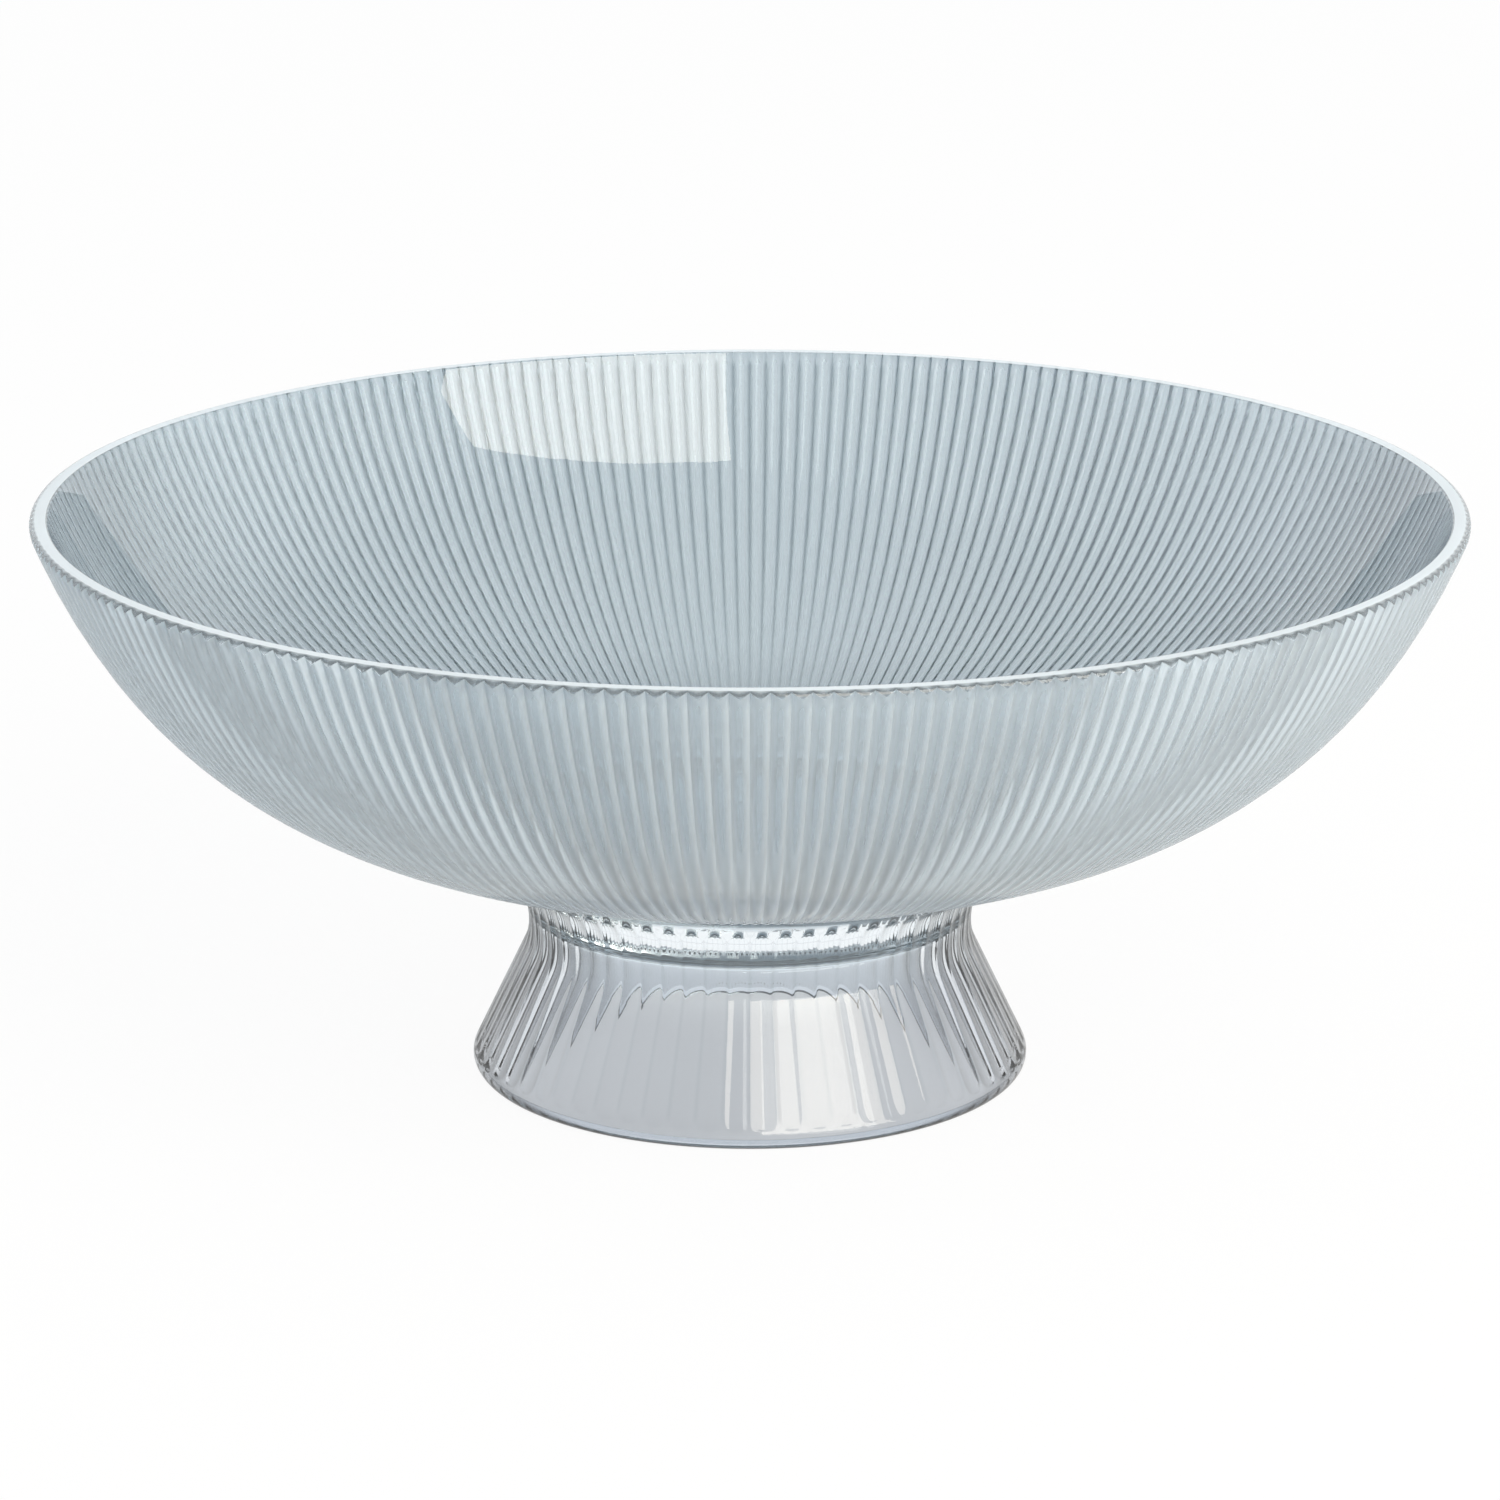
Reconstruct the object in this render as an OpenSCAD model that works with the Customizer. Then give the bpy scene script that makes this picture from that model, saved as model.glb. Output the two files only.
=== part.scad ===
// Footed glass bowl: a wide reeded bowl bonded to a fluted bell foot.
// Millimetres, Z up, origin on the table at the centre of the foot.

/* [Bowl] */
// Outside diameter over the rounded lip
rim_d = 300; // [280:1:330]
// Diameter of the flat base that sits on the foot
base_d = 111; // [106:1:116]
// Radius of the arc that shapes the upper wall
upper_arc_r = 132; // [115:1:160]
// Slope of the wall at the rim, from level
rim_slope = 69; // [66:1:74]
// Slope where the upper arc runs into the belly arc
meet_slope = 55; // [50:1:60]
// Slope at the edge of the flat base
base_slope = 1; // [0.5:0.5:4]
// Thickness of the glass, square to the wall
bowl_wall = 4; // [3:0.1:5]
// Radius of the outer edge of the rim
lip_r = 1.2; // [0.8:0.1:1.6]
// Radius of the inner edge of the rim
inner_lip_r = 0.5; // [0.3:0.1:0.8]

/* [Reeds] */
// Number of reeds round the outside of the bowl
reed_count = 240; // [200:8:256]
// Depth of the valleys between the reeds, at the rim
reed_depth = 0.5; // [0.3:0.05:0.7]

/* [Foot] */
// Height of the foot
foot_h = 52.2; // [50:0.1:58]
// Outside diameter over the round bead that stands on the table
foot_d = 118.4; // [112:0.1:124]
// Diameter of the waist
waist_d = 94.2; // [90:0.1:98]
// Height of the waist above the table
waist_z = 32.1; // [30:0.1:34]
// Radius of the curve that leads from the waist into the bell
waist_arc_r = 12.5; // [9:0.5:14]
// Radius of the bead
bead_r = 3.2; // [2.6:0.1:3.6]
// Thickness of the bell, square to the wall
foot_wall = 6.5; // [6:0.1:7]
// Height of the hollow's ceiling above the waist
hollow_rise = 3.9; // [3.2:0.1:6]
// Radius of the corner between the hollow's wall and its ceiling
hollow_corner_r = 2.5; // [1.5:0.1:3]
// Radius of the inner edge that stands on the table
inner_bead_r = 0.6; // [0.4:0.1:0.8]

/* [Flutes] */
// Number of flutes round the foot
flute_count = 64; // [56:4:72]
// Depth of a flute
flute_depth = 0.3; // [0.15:0.05:0.4]
// Height above the waist at which the flutes end on the neck
flute_rise = 11.4; // [9:0.1:13]
// Length over which a flute runs out at each end
flute_end = 3; // [2:0.1:4]

/* [Joint] */
// Thickness of the clear film that bonds the bowl to the foot
bond_t = 0.2; // [0.1:0.05:0.3]
// Distance from the edge of the foot's top to the edge of the film
bond_inset = 1.5; // [1:0.1:3]

/* [Hidden] */
glass_blue = [0.78, 0.88, 0.92];
glass_clear = [0.82, 0.86, 0.9];
film_clear = [0.9, 0.92, 0.9];

// Steps along each curve, and round each turned shape
belly_steps = 6;
wall_steps = 2;
lip_steps = 2;
curve_steps = 16;
round_steps = 180;
// How far a cut runs past the face that it opens
cut_past = 1;
// A flute's run-out: shares of its length, and of its depth there
run_out_shares = [[0, 0], [0.3, 0.7], [1, 1]];
// Places of rings, as shares of the plain stretch that they divide
stretch_shares = [0.5, 1];

rim_r = rim_d / 2;
base_r = base_d / 2;
foot_r = foot_d / 2;
waist_r = waist_d / 2;

// Bowl outline: the wall arc ends at the corner that the lip rounds off,
// and the belly arc runs from there to the edge of the flat base.
corner_r = rim_r + lip_r * (1 / tan(rim_slope / 2) - 1);
upper_c_r = corner_r - upper_arc_r * sin(rim_slope);
belly_arc_r = (upper_c_r + upper_arc_r * sin(meet_slope) - base_r)
            / (sin(meet_slope) - sin(base_slope));
belly_c_r = base_r - belly_arc_r * sin(base_slope);
base_z = foot_h + bond_t;
belly_c_z = base_z + belly_arc_r * cos(base_slope);
upper_c_z = belly_c_z + (upper_arc_r - belly_arc_r) * cos(meet_slope);
rim_z = upper_c_z - upper_arc_r * cos(rim_slope);
lip_l = lip_r / tan(rim_slope / 2);
lip_c = [corner_r - lip_l, rim_z - lip_r];
lip_low_slope = rim_slope - lip_l / upper_arc_r * 180 / PI;

// Inner wall of the bowl, on the same centres as the outside
inner_rim_slope = acos((upper_c_z - rim_z) / (upper_arc_r - bowl_wall));
inner_rim_r = upper_c_r + (upper_arc_r - bowl_wall) * sin(inner_rim_slope);
inner_lip_c = [inner_rim_r + inner_lip_r * tan(inner_rim_slope / 2), rim_z - inner_lip_r];

// Foot outline: bead, straight bell tangent to bead and waist, waist, neck
bead_c = [foot_r - bead_r, bead_r];
waist_c = [waist_r + waist_arc_r, waist_z];
centres_d = norm(waist_c - bead_c);
bell_slope = asin((waist_arc_r + bead_r) / centres_d)
           - atan2(waist_c[0] - bead_c[0], waist_c[1] - bead_c[1]);
neck_rise = foot_h - waist_z;
neck_flare = base_r - waist_r;
neck_arc_r = (neck_flare * neck_flare + neck_rise * neck_rise) / (2 * neck_flare);
neck_c = [waist_r + neck_arc_r, waist_z];
flute_top_z = waist_z + flute_rise;
hollow_h = waist_z + hollow_rise;

// Point at an angle on a circle, and a run of such points
function on_arc(c, r, a) = c + r * [cos(a), sin(a)];
function arc(c, r, from, to, steps) =
    [for (i = [0 : steps]) on_arc(c, r, from + (to - from) * i / steps)];

// Straight line on the bell between its bead end and its waist end
bell_low = on_arc(bead_c, bead_r, bell_slope);
bell_high = on_arc(waist_c, waist_arc_r, 180 + bell_slope);
bell_l = norm(bell_high - bell_low);
function on_bell(along) = bell_low + (bell_high - bell_low) * along / bell_l;

// Closed solid from rings of points that all have the same count, listed
// from the bottom up, each end closed by a fan round its middle
module skin(rings) {
    n = len(rings[0]);
    last = len(rings) - 1;
    low_mid = (last + 1) * n;
    points = [for (ring = rings, p = ring) p];
    ends = [[0, 0, rings[0][0][2]], [0, 0, rings[last][0][2]]];
    sides = [for (k = [0 : last - 1], i = [0 : n - 1])
        let (j = (i + 1) % n, a = k * n, b = a + n)
        each [[a + i, b + i, b + j], [a + i, b + j, a + j]]];
    low_fan = [for (i = [0 : n - 1]) [low_mid, i, (i + 1) % n]];
    top_fan = [for (i = [0 : n - 1]) [low_mid + 1, last * n + (i + 1) % n, last * n + i]];
    polyhedron(concat(points, ends), concat(sides, low_fan, top_fan), convexity = 4);
}

// Ring that goes from a crest point to a valley point and back, count times
function zigzag(crest, valley, count) =
    [for (i = [0 : 2 * count - 1])
        let (p = i % 2 == 0 ? crest : valley, a = i * 180 / count)
        [p[0] * cos(a), p[0] * sin(a), p[1]]];

// Outside of the bowl at a slope, and the valley below it, square to the wall
function wall_c(slope) =
    slope < meet_slope ? [belly_c_r, belly_c_z] : [upper_c_r, upper_c_z];
function wall_arc_r(slope) = slope < meet_slope ? belly_arc_r : upper_arc_r;
function crest_at(slope) = on_arc(wall_c(slope), wall_arc_r(slope), slope - 90);
function valley_at(slope, share) =
    let (p = crest_at(slope), d = share * reed_depth * p[0] / rim_r)
    p + d * [-sin(slope), cos(slope)];

// The lip cuts the crests lower down than the valleys, which leaves a scallop
function lip_valley_r(z) =
    corner_r - (rim_z - z) / tan(rim_slope) - reed_depth / sin(rim_slope);

module bowl_outside() {
    lip_low = rim_slope - 90;
    belly = [for (i = [0 : belly_steps])
        let (s = base_slope + (meet_slope - base_slope) * i / belly_steps)
        zigzag(crest_at(s), valley_at(s, i == 0 ? 0 : 1), reed_count)];
    wall = [for (i = [1 : wall_steps])
        let (s = meet_slope + (lip_low_slope - meet_slope) * i / wall_steps)
        zigzag(crest_at(s), valley_at(s, 1), reed_count)];
    lip = [for (i = [1 : lip_steps])
        let (p = on_arc(lip_c, lip_r, lip_low + (90 - lip_low) * i / lip_steps))
        zigzag(p, [min(p[0], lip_valley_r(p[1])), p[1]], reed_count)];
    skin(concat(belly, wall, lip));
}

module bowl_inside() {
    belly = arc([belly_c_r, belly_c_z], belly_arc_r - bowl_wall, -90, meet_slope - 90, curve_steps);
    wall = arc([upper_c_r, upper_c_z], upper_arc_r - bowl_wall,
        meet_slope - 90, inner_rim_slope - 90, curve_steps);
    lip = arc(inner_lip_c, inner_lip_r, 90 + inner_rim_slope, 90, lip_steps);
    rotate_extrude($fn = round_steps)
        polygon(concat(
            [[0, belly[0][1]]],
            belly,
            [for (i = [1 : curve_steps - 1]) wall[i]],
            lip,
            [[inner_lip_c[0], rim_z + cut_past], [0, rim_z + cut_past]]));
}

module bowl() {
    color(glass_blue)
        difference() {
            bowl_outside();
            bowl_inside();
        }
}

// Ring of flutes: ridges on the outline, hollows sunk below it
function fluted(p, share) = zigzag(p, p - [share * flute_depth, 0], flute_count);

// Point on the outline of the neck at a height
function neck_at(z) = on_arc(neck_c, neck_arc_r, 180 - asin((z - waist_z) / neck_arc_r));

module foot_outside() {
    bead = [for (a = [-90, -45, 0]) fluted(on_arc(bead_c, bead_r, a), 0)];
    low_ends = [for (row = run_out_shares) fluted(on_bell(flute_end * row[0]), row[1])];
    bell = [for (share = stretch_shares)
        fluted(on_bell(flute_end + (bell_l - flute_end) * share), 1)];
    waist = [for (a = [bell_slope / 2, 0])
        fluted(on_arc(waist_c, waist_arc_r, 180 + a), 1)];
    top_ends = [for (i = [len(run_out_shares) - 1 : -1 : 0])
        let (row = run_out_shares[i])
        fluted(neck_at(flute_top_z - flute_end * row[0]), row[1])];
    neck = [for (share = stretch_shares)
        fluted(neck_at(flute_top_z + (foot_h - flute_top_z) * share), 0)];
    skin(concat(bead, low_ends, bell, waist, top_ends, neck));
}

module foot_inside() {
    wall_top_r = waist_r - foot_wall;
    low = bell_low + foot_wall * [-cos(bell_slope), -sin(bell_slope)];
    table_r = low[0] + low[1] * tan(bell_slope);
    edge_c = [table_r + inner_bead_r / tan(45 + bell_slope / 2), inner_bead_r];
    edge = arc(edge_c, inner_bead_r, 270, 180 + bell_slope, lip_steps);
    waist = arc(waist_c, waist_arc_r + foot_wall, 180 + bell_slope, 180, curve_steps);
    corner = arc([wall_top_r - hollow_corner_r, hollow_h - hollow_corner_r],
        hollow_corner_r, 0, 90, curve_steps / 2);
    rotate_extrude($fn = round_steps)
        polygon(concat(
            [[0, -cut_past], [edge_c[0], -cut_past]],
            edge,
            waist,
            corner,
            [[0, hollow_h]]));
}

module foot() {
    color(glass_clear)
        difference() {
            foot_outside();
            foot_inside();
        }
}

module bond_film() {
    color(film_clear)
        translate([0, 0, foot_h])
            cylinder(r = base_r - bond_inset, h = bond_t, $fn = round_steps);
}

bowl();
foot();
bond_film();
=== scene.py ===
# %% [markdown]
# # A footed glass bowl
# The object is two pieces of pressed glass, a wide bowl and a hollow foot, with a thin clear joint
# between them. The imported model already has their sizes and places. This lesson builds the same two
# pieces again with the fine detail that makes pressed glass look like glass: rounded reeds with sharp
# valleys, a scalloped line under the lip, and flutes with rounded ends. Everything is in metres, with
# Z up and the table at zero.

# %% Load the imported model
import math

import bmesh
import bpy
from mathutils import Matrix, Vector


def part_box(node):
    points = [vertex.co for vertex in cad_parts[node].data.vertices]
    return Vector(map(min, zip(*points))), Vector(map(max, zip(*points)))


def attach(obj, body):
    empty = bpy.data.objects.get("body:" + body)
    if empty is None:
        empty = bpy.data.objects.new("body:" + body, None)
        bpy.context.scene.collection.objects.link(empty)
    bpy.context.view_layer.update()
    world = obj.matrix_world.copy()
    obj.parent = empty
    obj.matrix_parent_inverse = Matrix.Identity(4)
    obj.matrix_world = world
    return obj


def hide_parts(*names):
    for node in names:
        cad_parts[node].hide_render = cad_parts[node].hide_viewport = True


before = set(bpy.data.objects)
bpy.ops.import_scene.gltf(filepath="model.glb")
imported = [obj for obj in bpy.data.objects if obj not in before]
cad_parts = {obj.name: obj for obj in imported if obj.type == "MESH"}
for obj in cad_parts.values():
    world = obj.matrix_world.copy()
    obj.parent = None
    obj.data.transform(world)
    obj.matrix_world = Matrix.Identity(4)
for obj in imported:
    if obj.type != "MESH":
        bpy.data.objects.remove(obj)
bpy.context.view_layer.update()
print("packed nodes:", sorted(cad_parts))

# %% [markdown]
# ## The camera
# The picture is taken from a little above, 16 degrees down, with a long lens that keeps the rim's
# ellipse calm. A long lens is a large focal length: here about 149 mm on a 36 mm sensor, with the
# camera 1.26 m in front of the bowl's axis.

# %% Camera
MM = 0.001
focal_length, sensor_width, tilt_down = 148.73, 36, 15.995
camera_data = bpy.data.cameras.new("camera")
camera_data.sensor_width = sensor_width
camera_data.lens = focal_length
camera = bpy.data.objects.new("camera", camera_data)
camera.location = (0, -1.260, 0.4304)
camera.rotation_euler = (math.radians(90 - tilt_down), 0, 0)
bpy.context.scene.collection.objects.link(camera)
bpy.context.scene.camera = camera
print("camera at", tuple(round(x, 3) for x in camera.location))

# %% [markdown]
# ## Turning an outline
# A bowl and its foot are turned shapes, so both start as an outline that is spun once round Z. Every
# point of the outline leaves a ring behind it. The rings keep their number, so that a later step can
# find a ring and press reeds or flutes into it, as the mould does.

# %% Outline helpers
merge_gap, near = 0.001 * MM, 0.002 * MM


def sin(degrees):
    return math.sin(math.radians(degrees))


def cos(degrees):
    return math.cos(math.radians(degrees))


def tan(degrees):
    return math.tan(math.radians(degrees))


def on_arc(centre, radius, degrees):
    """Point at an angle on a circle, as (radius from the axis, height)."""
    return centre + radius * Vector((cos(degrees), sin(degrees)))


def steps(low, high, count):
    """Evenly spaced values from low to high, both included."""
    return [low + (high - low) * i / count for i in range(count + 1)]


def sweep(mesh, outline, degrees, columns):
    """Spin an outline of (radius, height) points through a few degrees. Each ring keeps its number."""
    number = mesh.verts.layers.int["ring"]
    points = [mesh.verts.new((r, 0, z)) for r, z in outline]
    for i, point in enumerate(points):
        point[number] = i
    lines = [mesh.edges.new(pair) for pair in zip(points, points[1:])]
    others = set(mesh.verts) - set(points)
    bmesh.ops.spin(
        mesh,
        geom=points + lines,
        cent=(0, 0, 0),
        axis=(0, 0, 1),
        angle=math.radians(degrees),
        steps=columns,
    )
    return [point for point in mesh.verts if point not in others]


def repeat_round(mesh, degrees, *times):
    """Copy a wedge of some degrees side by side, then copy that group, until the ring is closed."""
    for count in times:
        bmesh.ops.spin(
            mesh,
            geom=mesh.verts[:] + mesh.edges[:] + mesh.faces[:],
            cent=(0, 0, 0),
            axis=(0, 0, 1),
            angle=math.radians(degrees * (count - 1)),
            steps=count - 1,
            use_duplicate=True,
        )
        degrees *= count
    bmesh.ops.remove_doubles(mesh, verts=mesh.verts, dist=merge_gap)
    for face in mesh.faces:
        face.smooth = True
    print("wedges closed to", round(degrees), "degrees, points:", len(mesh.verts))


def start_wedge():
    """An empty wedge whose points carry a ring number and the two numbers for the material."""
    wedge = bmesh.new()
    wedge.verts.layers.int.new("ring")
    wedge.verts.layers.float.new("valley")
    wedge.verts.layers.float.new("satin")
    return wedge


def put(point, radius, height, turns):
    """Place a point at a radius, a height and a share of a full turn."""
    a = turns * math.tau
    point.co = (radius * math.cos(a), radius * math.sin(a), height)


def is_at(point, place):
    """Whether a point lies at a place of the outline, anywhere round the axis."""
    return (Vector((math.hypot(point.co.x, point.co.y), point.co.z)) - place).length < near


# %% [markdown]
# ## The outline of the bowl
# Outside, the wall is two arcs that flow into each other: a belly that starts level at the foot, and a
# flatter upper arc that ends 69 degrees steep at the rim. The inside runs on the same centres, one
# wall thickness further in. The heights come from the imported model, so the new piece lands in the
# same place. The rim is 300 mm across, drawn a tenth of a millimetre inside that, so that the finer
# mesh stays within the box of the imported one.

# %% Bowl outline
base_z, rim_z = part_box("bowl")[0].z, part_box("bowl")[1].z
rim_r, base_r = 149.9 * MM, 55.5 * MM
rim_slope, meet_slope, base_slope = 69, 55, 1
upper_arc_r, bowl_wall = 132 * MM, 4 * MM
lip_r, inner_lip_r = 1.2 * MM, 0.5 * MM

corner_r = rim_r + lip_r * (1 / tan(rim_slope / 2) - 1)
upper_c_r = corner_r - upper_arc_r * sin(rim_slope)
meet_r = upper_c_r + upper_arc_r * sin(meet_slope)
belly_arc_r = (meet_r - base_r) / (sin(meet_slope) - sin(base_slope))
belly_c = Vector((base_r - belly_arc_r * sin(base_slope), base_z + belly_arc_r * cos(base_slope)))
upper_c = Vector((upper_c_r, belly_c.y + (upper_arc_r - belly_arc_r) * cos(meet_slope)))
lip_l = lip_r / tan(rim_slope / 2)
lip_c = Vector((corner_r - lip_l, rim_z - lip_r))
lip_low_slope = rim_slope - math.degrees(lip_l / upper_arc_r)


def wall_at(slope):
    """Crest of the reeds where the wall has this slope from level."""
    centre, radius = (belly_c, belly_arc_r) if slope < meet_slope else (upper_c, upper_arc_r)
    return on_arc(centre, radius, slope - 90)


print("belly arc", round(belly_arc_r / MM, 2), "mm, wall ends at", round(corner_r / MM, 2), "mm")

# %% [markdown]
# ## Pressing the reeds
# The outside carries 240 reeds. Each is a shallow rounded rib, and two ribs meet in a sharp valley, so
# the depth below the crest grows with the square of the distance from the rib's middle. Eight columns
# of the mesh go to a rib. The reeds get narrower towards the foot, and lose their depth faster than
# their width, so that they run out softly at the bottom.
#
# At the top, the rounded lip cuts the ribs off. A crest meets the lip low down and a valley meets it
# higher up, which leaves a line of small scallops. The mesh follows that line exactly: every column
# ends its wall where its own depth meets the lip's circle, and the lip's rings start from there.
#
# The mesh also carries two numbers for the material. The first sets where the glass gets painted shade,
# a darker colour for the dark lines that the reeds bend into view: it grows from nothing on a crest to
# 1 in a valley, and is less where the wall lies flatter. "Satin" is the part of the light that the skin
# of
# the glass scatters: a little on a crest, more in a valley, and most on the ground flat of the rim.

# %% Reeded outside of the bowl
reed_count, reed_columns = 240, 8
reed_depth, reed_run_out = 0.85 * MM, 2.2
run_out = [(1, 0), (1.5, 0.3), (2.2, 0.62), (3.1, 0.88), (4.2, 1)]
run_out_slope, lip_room = run_out[-1][0], 1.2
belly_slopes = steps(run_out_slope, meet_slope, 17)[1:]
upper_slopes = steps(meet_slope, lip_low_slope - lip_room, 4)[1:]
reed_rings = run_out + [(slope, 1) for slope in belly_slopes + upper_slopes]
full_valley_slope, level_valley = 45, 0.45
crest_satin, valley_satin = 0.21, 0.44
lip_steps = 6
lip_satin = [0.25, 0.1, 0.1, 0.15, 0.25, 0.4, 0.75]


def reed_point(slope, share, depth):
    """Point of the reeded wall: the crest, sunk square to the wall."""
    crest = wall_at(slope)
    sink = depth * share * (crest.x / rim_r) ** reed_run_out
    return crest + sink * Vector((-sin(slope), cos(slope)))


def lip_point(step, depth):
    """Point of the lip's circle, from where this column's wall meets it up to the flat top."""
    start = rim_slope - 90 + math.degrees(math.acos(1 - depth / lip_r))
    return on_arc(lip_c, lip_r, start + (90 - start) * step / lip_steps)


outline = [reed_point(slope, share, 0) for slope, share in reed_rings]
outline += [lip_point(step, 0) for step in range(lip_steps + 1)]
bowl = start_wedge()
ring = bowl.verts.layers.int["ring"]
valley = bowl.verts.layers.float["valley"]
satin = bowl.verts.layers.float["satin"]
reed_turn = 1 / reed_count
for point in sweep(bowl, outline, 360 * reed_turn, reed_columns):
    turns = math.atan2(point.co.y, point.co.x) / math.tau
    across = 2 * turns / reed_turn - 1
    depth = reed_depth * across**2
    if point[ring] < len(reed_rings):
        slope, share = reed_rings[point[ring]]
        place = reed_point(slope, share, depth)
        # painted shade: this number darkens the colour of the glass along the valleys
        upright = min(1, slope / full_valley_slope)
        point[valley] = abs(across) * share * (level_valley + (1 - level_valley) * upright)
        point[satin] = crest_satin + (valley_satin - crest_satin) * across**2
    else:
        step = point[ring] - len(reed_rings)
        place = lip_point(step, depth)
        point[satin] = lip_satin[step]
    put(point, place.x, place.y, turns)
print("one reed has", len(bowl.faces), "faces")

# %% [markdown]
# Smooth shading would round every edge away, so the edges that are crisp in the glass are marked
# sharp: the valleys between the reeds and the scalloped line under the lip.

# %% Sharp valleys and scallops
for edge in bowl.edges:
    low, high = sorted(point[ring] for point in edge.verts)
    on_valley = edge.is_boundary and low != high and 0 < low and high <= len(reed_rings)
    on_scallop = low == high == len(reed_rings)
    edge.smooth = not (on_valley or on_scallop)
print("sharp edges on one reed:", sum(not edge.smooth for edge in bowl.edges))

# %% [markdown]
# ## The smooth inside
# The inside is plain and polished. It needs fewer columns than the reeds: two to each reed. A bridge
# across the flat top of the rim joins the two skins of the wedge, while it is still narrow and a bridge
# can't twist. Then the wedge is copied 240 times round, and the level floor inside and the flat
# underside are closed with one face each.


# %% Inside of the bowl
def edges_at(mesh, place):
    """The ring of edges at a radius and a height."""
    return [edge for edge in mesh.edges if all(is_at(point, place) for point in edge.verts)]


def close_flat(mesh, place):
    """Close the round opening at a radius and a height with one level face."""
    made = bmesh.ops.holes_fill(mesh, edges=edges_at(mesh, place), sides=0)["faces"]
    for face in made:
        face.smooth = False
    return made


inner_upper_r, inner_belly_r = upper_arc_r - bowl_wall, belly_arc_r - bowl_wall
inner_rim_slope = math.degrees(math.acos((upper_c.y - rim_z) / inner_upper_r))
inner_rim_r = upper_c.x + inner_upper_r * sin(inner_rim_slope)
inner_lip_c = Vector((inner_rim_r + inner_lip_r * tan(inner_rim_slope / 2), rim_z - inner_lip_r))
lip_arc = [on_arc(inner_lip_c, inner_lip_r, a) for a in steps(90, 90 + inner_rim_slope, 4)]
wall_slopes = steps(inner_rim_slope, meet_slope, 6)
wall_arc = [on_arc(upper_c, inner_upper_r, slope - 90) for slope in wall_slopes]
belly_arc = [on_arc(belly_c, inner_belly_r, slope - 90) for slope in steps(meet_slope, 0, 20)]
inside = lip_arc + wall_arc[1:] + belly_arc[1:]
sweep(bowl, inside, 360 * reed_turn, 2)
for point in bowl.verts:
    if is_at(point, inside[0]):
        point[satin] = lip_satin[-1]
bmesh.ops.bridge_loops(bowl, edges=edges_at(bowl, outline[-1]) + edges_at(bowl, inside[0]))
repeat_round(bowl, 360 * reed_turn, 15, 16)
close_flat(bowl, inside[-1])
underside = close_flat(bowl, outline[0])
bmesh.ops.recalc_face_normals(bowl, faces=bowl.faces)
print("open edges:", sum(edge.is_boundary for edge in bowl.edges))
print("volume of the bowl:", round(bowl.calc_volume() / MM**3), "cubic mm")

# %% [markdown]
# ## The outline of the foot
# The foot is a small bell: a round bead at the table, a straight flare that touches the bead, a waist,
# and a neck that opens again to the flat top under the bowl. It is hollow from below, with a rounded
# corner under a level ceiling, and solid above that.

# %% Foot outline
foot_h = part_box("foot")[1].z
foot_r, waist_r, waist_z = 59.2 * MM, 47.1 * MM, 32.1 * MM
waist_arc_r, bead_r, foot_wall = 12.5 * MM, 3.2 * MM, 6.5 * MM
bead_c = Vector((foot_r - bead_r, bead_r))
waist_c = Vector((waist_r + waist_arc_r, waist_z))
between = waist_c - bead_c
bell_slope = math.degrees(
    math.asin((waist_arc_r + bead_r) / between.length) - math.atan2(between.x, between.y)
)
bell_low = on_arc(bead_c, bead_r, bell_slope)
bell_high = on_arc(waist_c, waist_arc_r, 180 + bell_slope)
bell_l = (bell_high - bell_low).length
neck_rise, neck_flare = foot_h - waist_z, base_r - waist_r
neck_arc_r = (neck_flare**2 + neck_rise**2) / (2 * neck_flare)
neck_c = Vector((waist_r + neck_arc_r, waist_z))


def on_bell(along):
    return bell_low + (bell_high - bell_low) * along / bell_l


def neck_at(height):
    return on_arc(neck_c, neck_arc_r, 180 - math.degrees(math.asin((height - waist_z) / neck_arc_r)))


print("bell leans", round(bell_slope, 2), "degrees, neck arc", round(neck_arc_r / MM, 2), "mm")

# %% [markdown]
# ## Pressing the flutes
# The foot has 64 hollow flutes with narrow ridges between them. A flute is cut as by a round tool, so
# its floor is an arc, and where the tool lifts out at either end the flute gets shallower and narrower
# until it closes in a round end. Twelve columns go to a flute: ten across its hollow, which close in
# with it at the ends, and two on the ridge. The shade number marks the ridges here, and the thick neck,
# which both get painted shade: a deeper colour that stands in for the dark lines and ring of the glass.

# %% Fluted outside of the foot
flute_count, flute_columns, hollow_columns = 64, 12, 10
flute_depth, flute_end, flute_top_z = 0.3 * MM, 3 * MM, waist_z + 11.4 * MM
hollow_share, ridge_mark = 0.95, 0.7
end_shares = [0, 0.03, 0.1, 0.2, 0.35, 0.55, 0.8, 1]


def deep(share):
    """Share of a flute's depth at a share of its rounded end."""
    return math.sqrt(1 - (1 - share) ** 2)


foot_rings = [(on_arc(bead_c, bead_r, a), 0) for a in steps(-90, bell_slope, 10)[:-1]]
foot_rings += [(on_bell(flute_end * s), deep(s)) for s in end_shares]
foot_rings += [(on_bell(along), 1) for along in steps(flute_end, bell_l, 4)[1:]]
foot_rings += [(on_arc(waist_c, waist_arc_r, 180 + a), 1) for a in steps(bell_slope, 0, 8)[1:]]
foot_rings += [(neck_at(z), 1) for z in steps(waist_z, flute_top_z - flute_end, 5)[1:-1]]
foot_rings += [(neck_at(flute_top_z - flute_end * s), deep(s)) for s in reversed(end_shares)]
foot_rings += [(neck_at(z), 0) for z in steps(flute_top_z, foot_h, 5)[1:]]

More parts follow.
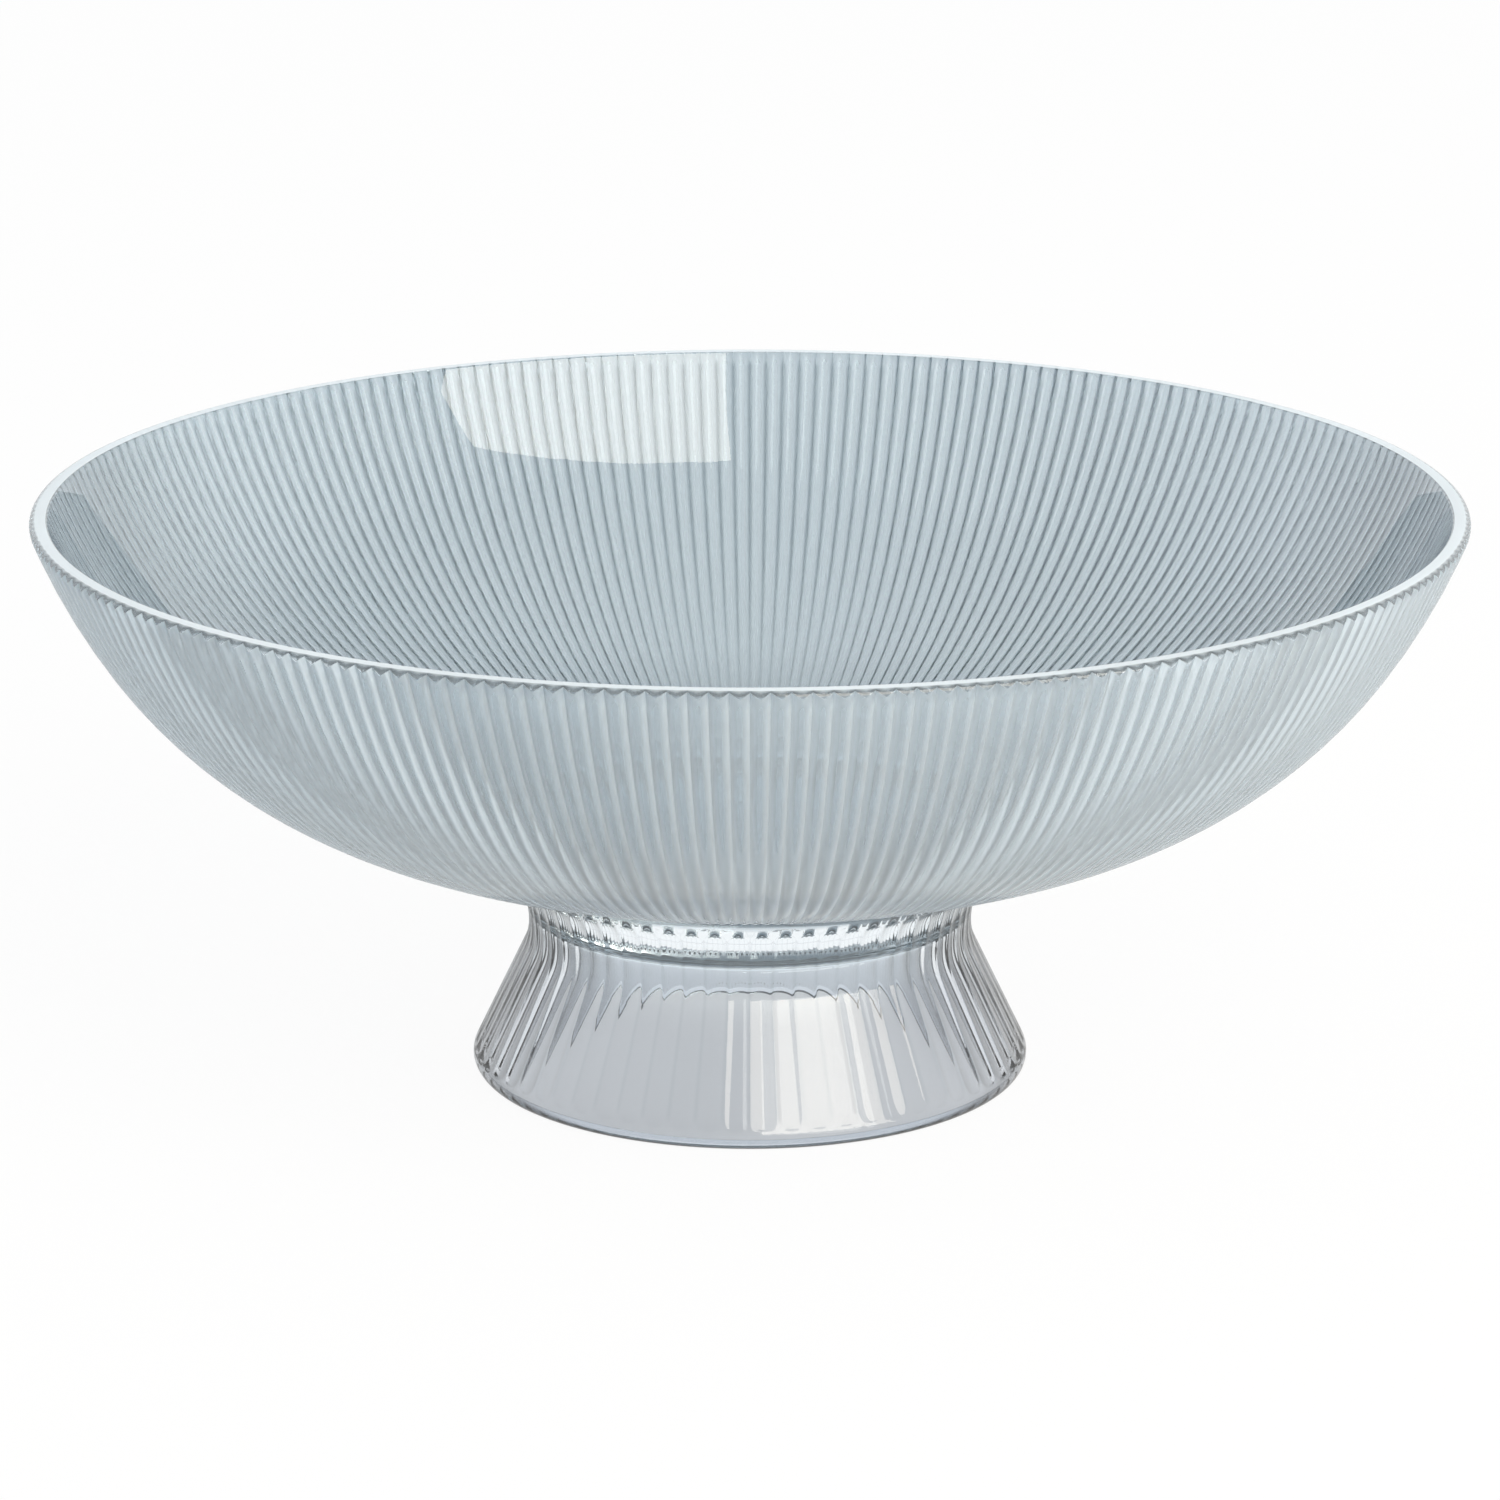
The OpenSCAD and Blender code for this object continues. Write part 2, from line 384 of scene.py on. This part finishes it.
foot = start_wedge()
ring = foot.verts.layers.int["ring"]
valley = foot.verts.layers.float["valley"]
flute_turn = 1 / flute_count
for point in sweep(foot, [place for place, share in foot_rings], 360 * flute_turn, flute_columns):
    place, share = foot_rings[point[ring]]
    across = 2 * math.atan2(point.co.y, point.co.x) / math.tau / flute_turn - 1
    sink = 0
    # painted shade: the thick neck gets the full darker colour, and below it the ridges get some
    point[valley] = 1 if place.y > flute_top_z + MM else 0
    if share > 0:
        # columns up to the hollow's edge, at 1, close in with it, and the outer two are the ridge
        half = hollow_share * math.sqrt(share)
        in_hollow = across * flute_columns / hollow_columns
        point[valley] = ridge_mark * share * min(1, abs(in_hollow))
        if abs(in_hollow) < 1.01:
            across = half * in_hollow
            sink = flute_depth * share * (1 - in_hollow**2)
    put(point, place.x - sink, place.y, flute_turn * (1 + across) / 2)
print("one flute has", len(foot.faces), "faces")

# %% [markdown]
# The hollow of the foot runs beside its outline, one wall thickness further in, from a small inner bead
# at the table up to the rounded corner under the ceiling. It is swept on the same narrow wedge, joined
# to the outside across the ring that the foot stands on, and copied round.

# %% Hollow of the foot
ceiling_z, hollow_corner_r, inner_bead_r = waist_z + 3.9 * MM, 2.5 * MM, 0.6 * MM
low = bell_low - foot_wall * Vector((cos(bell_slope), sin(bell_slope)))
table_r = low.x + low.y * tan(bell_slope)
edge_c = Vector((table_r + inner_bead_r / tan(45 + bell_slope / 2), inner_bead_r))
corner_c = Vector((waist_r - foot_wall - hollow_corner_r, ceiling_z - hollow_corner_r))
hollow = [on_arc(edge_c, inner_bead_r, a) for a in steps(270, 180 + bell_slope, 4)]
hollow += [on_arc(waist_c, waist_arc_r + foot_wall, a) for a in steps(180 + bell_slope, 180, 8)]
hollow += [on_arc(corner_c, hollow_corner_r, a) for a in steps(0, 90, 8)]
sweep(foot, hollow, 360 * flute_turn, 6)
bmesh.ops.bridge_loops(foot, edges=edges_at(foot, foot_rings[0][0]) + edges_at(foot, hollow[0]))
repeat_round(foot, 360 * flute_turn, 8, 8)
close_flat(foot, hollow[-1])
foot_top = close_flat(foot, foot_rings[-1][0])
bmesh.ops.recalc_face_normals(foot, faces=foot.faces)
print("open edges:", sum(edge.is_boundary for edge in foot.edges))
print("volume of the foot:", round(foot.calc_volume() / MM**3), "cubic mm")

# %% [markdown]
# ## Shader sums
# A material is a graph of nodes. Writing a graph as sums keeps it short: a small class wraps a socket,
# and adding or multiplying two wrapped sockets adds the Math node that does it. One method makes any
# other node.


# %% Node helpers
class Wire:
    """An output socket that can stand in a sum."""

    def __init__(self, socket):
        self.socket = socket

    def maths(self, operation, first, second):
        nodes = Nodes(self.socket.id_data)
        return nodes.add("ShaderNodeMath", {"operation": operation}, {0: first, 1: second})

    def __add__(self, other):
        return self.maths("ADD", self, other)

    def __mul__(self, other):
        return self.maths("MULTIPLY", self, other)

    def most(self, other):
        return self.maths("MAXIMUM", self, other)

    __radd__, __rmul__ = __add__, __mul__


class Nodes:
    """The nodes of one material or world."""

    def __init__(self, tree):
        self.tree = tree

    def add(self, kind, settings, sockets, output=0):
        """Make a node, set it up, fill its sockets with values or wires, and return an output."""
        node = self.tree.nodes.new(kind)
        for name, value in settings.items():
            setattr(node, name, value)
        for name, value in sockets.items():
            if isinstance(value, Wire):
                self.tree.links.new(value.socket, node.inputs[name])
            else:
                node.inputs[name].default_value = value
        return Wire(node.outputs[output]) if node.outputs else node

    def noise(self, place, scale, detail):
        sockets = {"Vector": place, "Scale": scale, "Detail": detail}
        return self.add("ShaderNodeTexNoise", {}, sockets)

    def mix(self, share, first, second):
        """Mix two colours."""
        sockets = {0: share, 6: first, 7: second}
        return self.add("ShaderNodeMix", {"data_type": "RGBA"}, sockets, 2)

    def blend(self, share, first, second):
        """Mix two shaders."""
        return self.add("ShaderNodeMixShader", {}, {0: share, 1: first, 2: second})

    def ramp(self, value, low, high, start=0, end=1):
        """Go softly from start to end while the value goes from low to high."""
        sockets = {"Value": value, "From Min": low, "From Max": high, "To Min": start, "To Max": end}
        return self.add("ShaderNodeMapRange", {"interpolation_type": "SMOOTHSTEP"}, sockets)

    def rays(self):
        """Whether a ray comes from the camera, off a mirror or through glass."""
        kinds = "Is Camera Ray", "Is Glossy Ray", "Is Transmission Ray"
        return [self.add("ShaderNodeLightPath", {}, {}, kind) for kind in kinds]


def new_material(name):
    material = bpy.data.materials.new(name)
    material.use_nodes = True
    material.node_tree.nodes.clear()
    return material, Nodes(material.node_tree)


# %% [markdown]
# ## Pressed glass
# Clear glass mirrors a little at its face and bends the rest of the light, by an index of 1.5. A cool
# tint takes a part of the light at each wall. The tint is built up in steps:
#
# - it drifts a little from place to place, as pressed glass is never quite even
# - it gets paler with height on the foot: painted light that stands in for the brightness of its solid
#   neck
# - it is darker along a valley of the bowl, and on the ridges and the thick neck of the foot: painted
#   shade for the dark lines where the glass bends light the most
# - it is deepest where the surface turns away from the eye: partly the deeper tint of a long way
#   through the glass, and partly painted shade for the dark edges of the glass, a little more so in a
#   valley than on a crest
#
# The skin of pressed glass keeps a fine bloom from the mould, so it scatters a part of the light. The
# satin number of the mesh sets how much, and a slow noise makes it uneven. The surface also has a very
# shallow waviness, and the ring it stands on is finely scratched.

# %% Glass materials
slow_scale, wave_scale, grain_scale = 14, 70, 900
polished, scratched = 0.012, 0.2
wave_height, grain_share = 0.03 * MM, 0.02
valley_from, valley_full = 0.5, 1
turned_from, turned_full, turned_on_crest = 0.32, 0.66, 0.7
satin_least, satin_drift = 0.85, 0.3
skin_colour, skin_roughness = (0.83, 0.93, 1, 1), 0.3


def tint_in_steps(nodes, height, slow, tint, drift, valley_tint, steep_tint, clear_above):
    """The colour of the glass: drift, then painted light by height and painted shade, one over the
    other.
    """
    valley = nodes.add("ShaderNodeAttribute", {"attribute_name": "valley"}, {}, "Fac")
    shade_band = nodes.ramp(valley, valley_from, valley_full)
    facing = nodes.add("ShaderNodeLayerWeight", {}, {"Blend": 0.5}, "Facing")
    turned = nodes.ramp(facing, turned_from, turned_full)
    steep = turned * (turned_on_crest + (1 - turned_on_crest) * shade_band)
    clear_from, clear_full, painted_light_colour = clear_above
    colour = nodes.mix(slow, tint, drift)
    # painted light: the foot gets paler towards its top
    colour = nodes.mix(nodes.ramp(height, clear_from, clear_full), colour, painted_light_colour)
    # painted shade along the bowl's valleys, the foot's ridges and its neck
    colour = nodes.mix(shade_band, colour, valley_tint)
    # painted shade where the surface turns away, partly the deeper tint of a long path through glass
    return nodes.mix(steep, colour, steep_tint)


def glass(name, worn_below, **tints):
    """Clear pressed glass: tint with painted light and shade, mould waves, satin skin, worn standing
    ring.
    """
    material, nodes = new_material(name)
    place = nodes.add("ShaderNodeTexCoord", {}, {}, "Object")
    slow = nodes.noise(place, slow_scale, 2)
    grain = nodes.noise(place, grain_scale, 3)
    relief = nodes.noise(place, wave_scale, 1) + grain_share * grain
    height = nodes.add("ShaderNodeSeparateXYZ", {}, {"Vector": place}, "Z")
    worn = height.maths("LESS_THAN", height, worn_below)
    normal = nodes.add(
        "ShaderNodeBump", {}, {"Height": relief, "Strength": 1, "Distance": wave_height}, "Normal"
    )
    surface = nodes.add(
        "ShaderNodeBsdfPrincipled",
        {},
        {
            "Base Color": tint_in_steps(nodes, height, slow, **tints),
            "Roughness": polished * slow + worn * (scratched + scratched * grain),
            "Normal": normal,
            "IOR": 1.5,
            "Transmission Weight": 1,
        },
    )
    skin = nodes.add(
        "ShaderNodeBsdfPrincipled",
        {},
        {"Base Color": skin_colour, "Roughness": skin_roughness, "Normal": normal},
    )
    satin = nodes.add("ShaderNodeAttribute", {"attribute_name": "satin"}, {}, "Fac")
    both = nodes.blend(satin * (satin_least + satin_drift * slow), surface, skin)
    nodes.add("ShaderNodeOutputMaterial", {}, {"Surface": both})
    return material


# the bowl has no worn ring and no painted light with height, so both of its heights lie out of reach
bowl_glass = glass(
    "bowl_glass",
    tint=(0.62, 0.72, 0.785, 1),
    drift=(0.64, 0.73, 0.785, 1),
    valley_tint=(0.14, 0.18, 0.21, 1),
    steep_tint=(0.15, 0.19, 0.22, 1),
    clear_above=(1, 2, (1, 1, 1, 1)),
    worn_below=-1,
)
# the foot's colour where it turns away is nearly black: painted shade along its edges
foot_glass = glass(
    "foot_glass",
    tint=(0.69, 0.73, 0.78, 1),
    drift=(0.73, 0.76, 0.80, 1),
    valley_tint=(0.55, 0.62, 0.67, 1),
    steep_tint=(0.01, 0.012, 0.014, 1),
    clear_above=(20 * MM, 38 * MM, (0.92, 0.97, 1.0, 1)),
    worn_below=0.15 * MM,
)
print("made:", bowl_glass.name, "and", foot_glass.name)

# %% [markdown]
# ## The joint
# The bowl is bonded to its foot with a clear film, which fills the gap between them, so light passes
# from one piece to the other without a bend. The two faces at the film are therefore fully clear. The
# film itself is coloured darker, painted shade that takes about a fifth of the light at each of its
# faces and darkens what is seen through the joint, and it has a faint haze.

# %% Clear joint
joined_face, nodes = new_material("joined_face")
clear = nodes.add("ShaderNodeBsdfTransparent", {}, {"Color": (1, 1, 1, 1)})
nodes.add("ShaderNodeOutputMaterial", {}, {"Surface": clear})

film_material, nodes = new_material("joint_film")
place = nodes.add("ShaderNodeTexCoord", {}, {}, "Object")
haze_scale, haze_share = 60, 0.02
haze = nodes.noise(place, haze_scale, 2)
# painted shade: the film's colour darkens the view through the joint
clear = nodes.add("ShaderNodeBsdfTransparent", {}, {"Color": (0.78, 0.82, 0.84, 1)})
cured = nodes.add(
    "ShaderNodeBsdfPrincipled", {}, {"Base Color": (0.86, 0.9, 0.9, 1), "Roughness": 0.2}
)
both = nodes.blend(haze_share * haze, clear, cured)
nodes.add("ShaderNodeOutputMaterial", {}, {"Surface": both})
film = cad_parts["bond_film"]
film.data.materials.clear()
film.data.materials.append(film_material)
print("the joint is", round(film.dimensions.z / MM, 2), "mm thick")

# %% [markdown]
# ## Pieces
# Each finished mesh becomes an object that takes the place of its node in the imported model. The flat
# face at the joint gets the fully clear material, and the rest gets the glass.


# %% Pieces from the meshes
def make_piece(name, mesh, materials, joined, node):
    """Turn a finished mesh into a piece that stands for a CAD node."""
    for face in joined:
        face.material_index = 1
    data = bpy.data.meshes.new(name)
    mesh.to_mesh(data)
    mesh.free()
    for material in materials:
        data.materials.append(material)
    piece = bpy.data.objects.new(name, data)
    bpy.context.scene.collection.objects.link(piece)
    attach(piece, "root")
    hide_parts(node)
    print(name, "has", sum(len(p.vertices) - 2 for p in data.polygons), "triangles")


bowl_materials, foot_materials = [bowl_glass, joined_face], [foot_glass, joined_face]
make_piece("reeded_bowl", bowl, bowl_materials, underside, "bowl")
make_piece("fluted_foot", foot, foot_materials, foot_top, "foot")

# %% [markdown]
# ## The studio
# The object stands on a wide white floor that fills the picture. Nearly all of what the camera sees
# of it is plain white, and the rest is its own lit surface, so the object's shadow stays. Mirrors and
# glass see more of the lit surface, so the floor under the object reads a little darker through it.

# %% Floor
floor_half, floor_squares = 6, 8
white_seen, white_in_glass = 0.94, 0.55
floor_mesh = bmesh.new()
bmesh.ops.create_grid(
    floor_mesh, x_segments=floor_squares, y_segments=floor_squares, size=floor_half
)
floor_data = bpy.data.meshes.new("floor")
floor_mesh.to_mesh(floor_data)
floor_mesh.free()
floor = bpy.data.objects.new("floor", floor_data)
bpy.context.scene.collection.objects.link(floor)
floor_material, nodes = new_material("studio_floor")
seen, mirrored, through = nodes.rays()
shown = (white_seen * seen).most(white_in_glass * mirrored.most(through))
lit = nodes.add("ShaderNodeBsdfDiffuse", {}, {"Color": (0.88, 0.88, 0.88, 1)})
white = nodes.add("ShaderNodeEmission", {}, {"Color": (1, 1, 1, 1), "Strength": 1})
both = nodes.blend(shown, lit, white)
nodes.add("ShaderNodeOutputMaterial", {}, {"Surface": both})
floor_data.materials.append(floor_material)
print("the floor is", 2 * floor_half, "m wide")

# %% [markdown]
# The light of the room is even, a little cool and near full strength. What glass and mirrors see of
# the room has white walls and a grey ceiling. The ceiling gives each reed and flute a darker side,
# without which clear glass in a white room hardly shows. The walls start to fade where a line of sight
# rises by 0.3 of its length, which is 17 degrees, and the ceiling is full at 0.85, or 58 degrees.

# %% Room
room_light, room_colour = 0.72, (0.94, 0.97, 1, 1)
wall_white, ceiling_white = 1, 0.2
fade_from, fade_full = 0.3, 0.85
world = bpy.data.worlds.new("studio")
bpy.context.scene.world = world
world.use_nodes = True
world.node_tree.nodes.clear()
nodes = Nodes(world.node_tree)
seen, mirrored, through = nodes.rays()
way = nodes.add("ShaderNodeTexCoord", {}, {}, "Generated")
up = nodes.add("ShaderNodeSeparateXYZ", {}, {"Vector": way}, "Z")
walls = nodes.ramp(up, fade_from, fade_full, wall_white, ceiling_white)
room = nodes.add("ShaderNodeBackground", {}, {"Color": room_colour, "Strength": room_light})
white = nodes.add("ShaderNodeBackground", {}, {"Color": (1, 1, 1, 1), "Strength": walls})
both = nodes.blend(seen.most(mirrored).most(through), room, white)
nodes.add("ShaderNodeOutputWorld", {}, {"Surface": both})
print("the room's light is", room_light, "and its ceiling", ceiling_white)

# %% [markdown]
# One large, upright lamp like a window stands to the right of the camera, turned a little away from the
# bowl. Its light is slightly warm. It makes the bright patch on the back wall of the bowl and the
# bright stripes on the foot. The camera doesn't see the lamp itself.

# %% Window lamp
side, away, turn = 40, 2.0, -30
window_low, window_high, window_width, window_power = 0.32, 2.6, 2.3, 82
window = bpy.data.lights.new("window", "AREA")
window.shape = "RECTANGLE"
window.size, window.size_y = window_width, window_high - window_low
window.energy = window_power
window.color = (1, 0.92, 0.8)
lamp = bpy.data.objects.new("window", window)
lamp.location = (away * sin(side), -away * cos(side), (window_low + window_high) / 2)
lamp.rotation_euler = (math.radians(90), 0, math.radians(side + turn))
lamp.visible_camera = False
bpy.context.scene.collection.objects.link(lamp)
print("the window is", window_width, "m wide and", round(window_high - window_low, 2), "m high")

# %% [markdown]
# Standard keeps colours as they are written, so white comes out white.

# %% Standard colours
bpy.context.scene.view_settings.view_transform = "Standard"
print("view transform:", bpy.context.scene.view_settings.view_transform)
